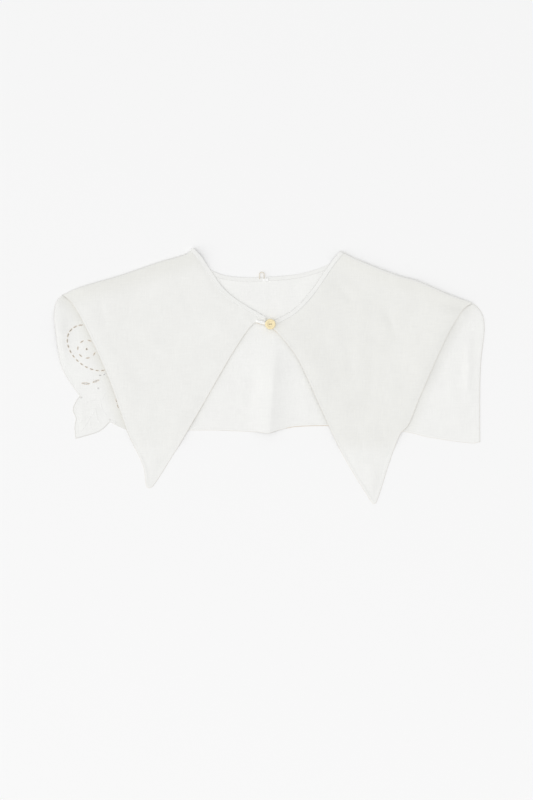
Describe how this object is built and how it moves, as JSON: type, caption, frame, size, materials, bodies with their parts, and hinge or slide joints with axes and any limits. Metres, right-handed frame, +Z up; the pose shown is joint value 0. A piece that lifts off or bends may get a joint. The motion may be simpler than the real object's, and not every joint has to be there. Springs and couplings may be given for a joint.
{
  "type": "detachable collar",
  "caption": "Linen collar laid flat and buttoned at the neck: long pointed fronts lie over a back panel with a cutwork end, with a narrow neck binding, a cord button loop and a hanging loop.",
  "frame": {"origin": "on the surface the collar lies on, under the middle of its bounding box", "axes": "+X across the collar from its cutwork end to its plain end, +Y from the points to the back neck, +Z up from the surface"},
  "size_m": [0.4732, 0.2815, 0.0069],
  "materials": {
    "linen": "off-white plain-weave linen, washed and pressed, matt",
    "binding": "narrow folded strip of the same off-white linen, matt",
    "thread": "white mercerised cotton thread and cord",
    "button": "pale honey-yellow casein, softly polished"
  },
  "bodies": {
    "root": {"back_panel": "linen", "front_left": "linen", "front_right": "linen", "binding_back": "binding", "binding_left": "binding", "binding_right": "binding", "button": "button", "button_shank": "thread", "button_loop": "thread", "hanging_loop": "thread"}
  },
  "joints": []
}
